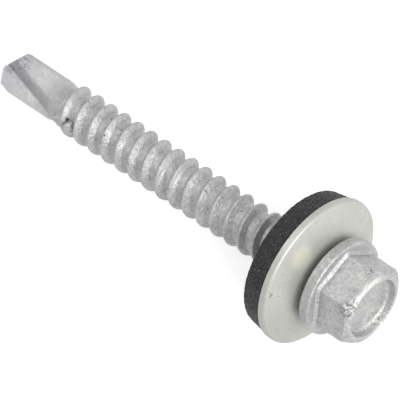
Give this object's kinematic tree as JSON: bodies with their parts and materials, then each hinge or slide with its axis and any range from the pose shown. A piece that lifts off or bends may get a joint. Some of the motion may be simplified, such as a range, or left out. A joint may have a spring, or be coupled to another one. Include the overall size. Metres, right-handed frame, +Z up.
{
  "type": "self drilling roofing screw",
  "caption": "Self drilling screw with indented hexagon flange head, rolled thread, fluted drill point and bonded sealing washer.",
  "frame": {"origin": "on the floor under the middle of the bounding box, with the screw lying on its washer's rim and its first thread", "axes": "+Z up from the floor, +X horizontally from the drill point to the head, so the screw's own axis climbs in the XZ plane"},
  "size_m": [0.0502, 0.016, 0.0159],
  "materials": {
    "zinc_steel": "matt zinc coating with a fine mottled grain, brighter where edges are rubbed",
    "washer_steel": "smooth pale grey coated sheet steel, satin",
    "seal_rubber": "matt black moulded rubber with fine grey specks"
  },
  "bodies": {
    "screw": {"screw": "zinc_steel"},
    "sealing_washer": {"washer_plate": "washer_steel", "rubber_seal": "seal_rubber"}
  },
  "joints": [
    {"name": "washer_spin", "type": "hinge", "parent": "screw", "child": "sealing_washer", "pos_m": [0.01942, 0, 0.00833], "axis": [0.9867, 0, 0.1626], "continuous": true}
  ]
}
